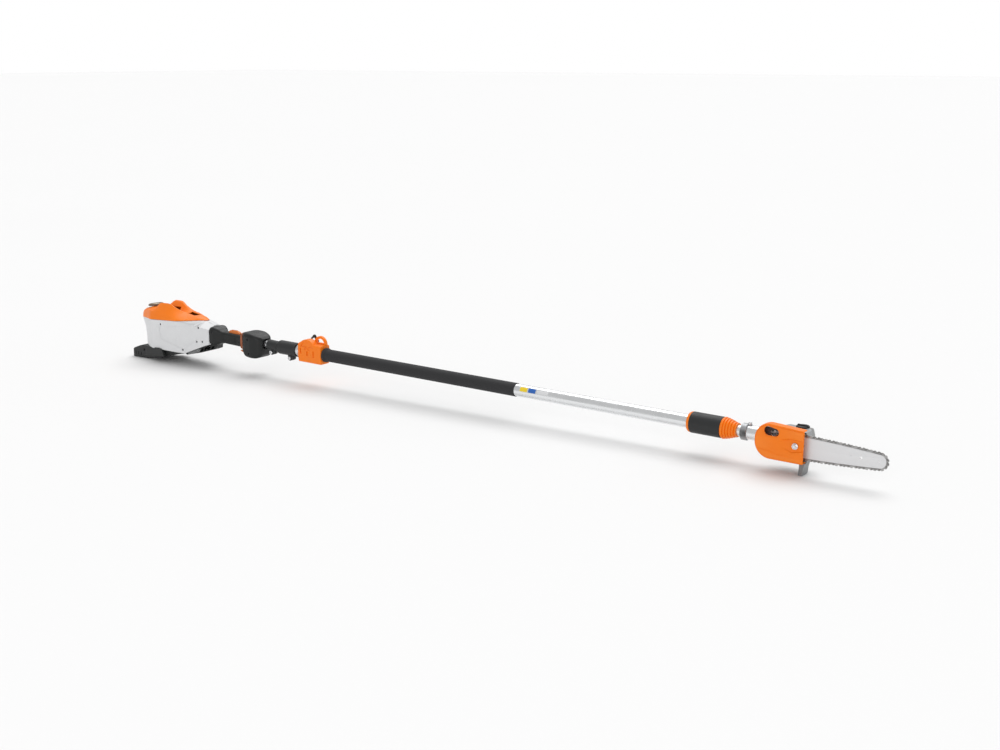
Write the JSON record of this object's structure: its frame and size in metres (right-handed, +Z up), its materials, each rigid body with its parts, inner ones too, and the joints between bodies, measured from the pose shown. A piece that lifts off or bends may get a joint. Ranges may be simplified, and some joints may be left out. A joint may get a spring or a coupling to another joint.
{
  "type": "telescoping pole saw",
  "caption": "Battery pole saw: rear motor and battery housing, grip with trigger, telescoping pole with twist clamp, and a chainsaw head with guide bar.",
  "frame": {"origin": "bottom centre of the whole machine's box, pole retracted, lying on its rear foot and branch hook", "axes": "+X from the battery end to the saw head along the pole's length, +Z up, -Y the side with the sprocket cover"},
  "size_m": [2.6664, 0.128, 0.1991],
  "materials": {
    "orange_plastic": "satin moulded plastic",
    "light_grey_plastic": "satin moulded plastic",
    "black_plastic": "fine textured moulded plastic",
    "foam_rubber": "closed-cell grip",
    "aluminium_tube": "satin anodised",
    "cast_magnesium": "grey coated casting",
    "steel": "ground steel",
    "filter_mesh": "fine mesh",
    "copper_winding": "enamelled copper wire",
    "circuit_board": "potted board",
    "battery_ring": "satin plastic"
  },
  "bodies": {
    "machine": {"battery_housing_right": "light_grey_plastic", "battery_housing_left": "light_grey_plastic", "top_cover": "orange_plastic", "control_panel": "black_plastic", "battery_socket": "black_plastic", "intake_frame": "black_plastic", "intake_filter": "filter_mesh", "rear_foot": "black_plastic", "controller_board": "circuit_board", "motor_stator": "copper_winding", "motor_carrier": "cast_magnesium", "motor_bearing": "steel", "handle_right": "black_plastic", "handle_left": "black_plastic", "trigger_switch": "black_plastic", "guard_right": "black_plastic", "guard_left": "black_plastic", "guard_collar": "orange_plastic", "tube_mount": "cast_magnesium", "drive_tube": "aluminium_tube", "coupling_sleeve": "black_plastic", "coupling_bolt_rear": "steel", "coupling_bolt_front": "steel", "strap_bracket": "orange_plastic", "strap_loop": "orange_plastic", "outer_tube": "aluminium_tube", "foam_sleeve": "foam_rubber", "outer_tube_bush": "black_plastic", "clamp_ring": "orange_plastic"},
    "battery": {"battery_pack": "orange_plastic", "battery_ring": "battery_ring"},
    "battery_latch": {"battery_latch": "black_plastic"},
    "mode_button": {"mode_button": "orange_plastic"},
    "trigger": {"trigger": "orange_plastic"},
    "lockout": {"lockout_lever": "orange_plastic"},
    "strap_gate": {"strap_gate": "black_plastic"},
    "clamp_nut": {"clamp_sleeve": "foam_rubber", "clamp_cone": "orange_plastic"},
    "rear_drive": {"rear_drive_shaft": "steel", "motor_rotor": "steel", "cooling_fan": "black_plastic"},
    "inner_pole": {"inner_tube": "aluminium_tube", "inner_tube_bush": "black_plastic", "gearbox_housing": "cast_magnesium", "neck_screw": "steel", "bar_stud": "steel", "oil_tank": "cast_magnesium", "sprocket_cover": "orange_plastic", "branch_hook": "cast_magnesium", "saw_chain": "steel"},
    "front_drive": {"hex_drive_rod": "steel", "bevel_pinion": "steel"},
    "chain_drive": {"bevel_gear": "steel", "drive_sprocket": "steel"},
    "bar": {"guide_bar": "steel"},
    "bar_nose": {"nose_sprocket": "steel"},
    "tensioner": {"tensioner_screw": "steel"},
    "cover_nut": {"cover_nut": "steel"},
    "oil_cap": {"oil_cap": "black_plastic"}
  },
  "joints": [
    {"name": "battery_slide", "type": "slide", "parent": "machine", "child": "battery", "axis": [-0.0209, 0, 0.9998], "range_m": [0, 0.125]},
    {"name": "battery_latch_tilt", "type": "hinge", "parent": "machine", "child": "battery_latch", "pos_m": [-1.17687, 0, 0.16315], "axis": [0, 1, 0], "range_deg": [-20, 0], "stiffness_Nm_per_rad": 0.15},
    {"name": "mode_button_press", "type": "slide", "parent": "machine", "child": "mode_button", "axis": [-0.014, 0, -0.9999], "range_m": [0, 0.001], "stiffness_N_per_m": 400},
    {"name": "trigger_pull", "type": "hinge", "parent": "machine", "child": "trigger", "pos_m": [-0.82483, 0, 0.09223], "axis": [0, 1, 0], "range_deg": [0, 14], "stiffness_Nm_per_rad": 0.4, "springref_deg": -5.73},
    {"name": "lockout_press", "type": "hinge", "parent": "machine", "child": "lockout", "pos_m": [-0.89338, 0, 0.12419], "axis": [0, 1, 0], "range_deg": [0, 6], "stiffness_Nm_per_rad": 0.6, "springref_deg": -5.73},
    {"name": "strap_gate_swing", "type": "hinge", "parent": "machine", "child": "strap_gate", "pos_m": [-0.52118, 0.013, 0.13649], "axis": [0, 1, 0], "range_deg": [-18, 50], "stiffness_Nm_per_rad": 0.03},
    {"name": "clamp_twist", "type": "hinge", "parent": "machine", "child": "clamp_nut", "pos_m": [0.83821, 0, 0.083], "axis": [0.9999, 0, -0.014], "range_deg": [0, 120]},
    {"name": "motor_spin", "type": "hinge", "parent": "machine", "child": "rear_drive", "pos_m": [-1.05161, 0, 0.10939], "axis": [0.9999, 0, -0.014], "continuous": true},
    {"name": "telescope", "type": "slide", "parent": "machine", "child": "inner_pole", "axis": [0.9999, 0, -0.014], "range_m": [0, 1.2]},
    {"name": "shaft_spin", "type": "hinge", "parent": "inner_pole", "child": "front_drive", "pos_m": [0.98819, 0, 0.08091], "axis": [0.9999, 0, -0.014], "continuous": true},
    {"name": "sprocket_spin", "type": "hinge", "parent": "inner_pole", "child": "chain_drive", "pos_m": [1.04319, 0, 0.08014], "axis": [0, 1, 0], "continuous": true},
    {"name": "tensioner_turn", "type": "hinge", "parent": "inner_pole", "child": "tensioner", "pos_m": [1.10476, -0.012, 0.04928], "axis": [0.9999, 0, -0.014], "range_deg": [-1728, 0]},
    {"name": "bar_tension", "type": "slide", "parent": "inner_pole", "child": "bar", "axis": [0.9999, 0, -0.014], "range_m": [-0.006, 0]},
    {"name": "nose_spin", "type": "hinge", "parent": "bar", "child": "bar_nose", "pos_m": [1.31008, -0.025, 0.07042], "axis": [0, 1, 0], "continuous": true},
    {"name": "cover_nut_turn", "type": "hinge", "parent": "inner_pole", "child": "cover_nut", "pos_m": [1.10317, -0.048, 0.0783], "axis": [0, 1, 0], "continuous": true},
    {"name": "oil_cap_turn", "type": "hinge", "parent": "inner_pole", "child": "oil_cap", "pos_m": [1.0916, 0.0265, 0.10947], "axis": [0.014, 0, 0.9999], "range_deg": [0, 90]}
  ],
  "couplings": [
    {"joint": "shaft_spin", "follows": "motor_spin", "ratio": 1},
    {"joint": "sprocket_spin", "follows": "motor_spin", "ratio": 0.66667},
    {"joint": "nose_spin", "follows": "motor_spin", "ratio": 0.51852},
    {"joint": "tensioner_turn", "follows": "bar_tension", "rad_per_m": 5026.5}
  ]
}
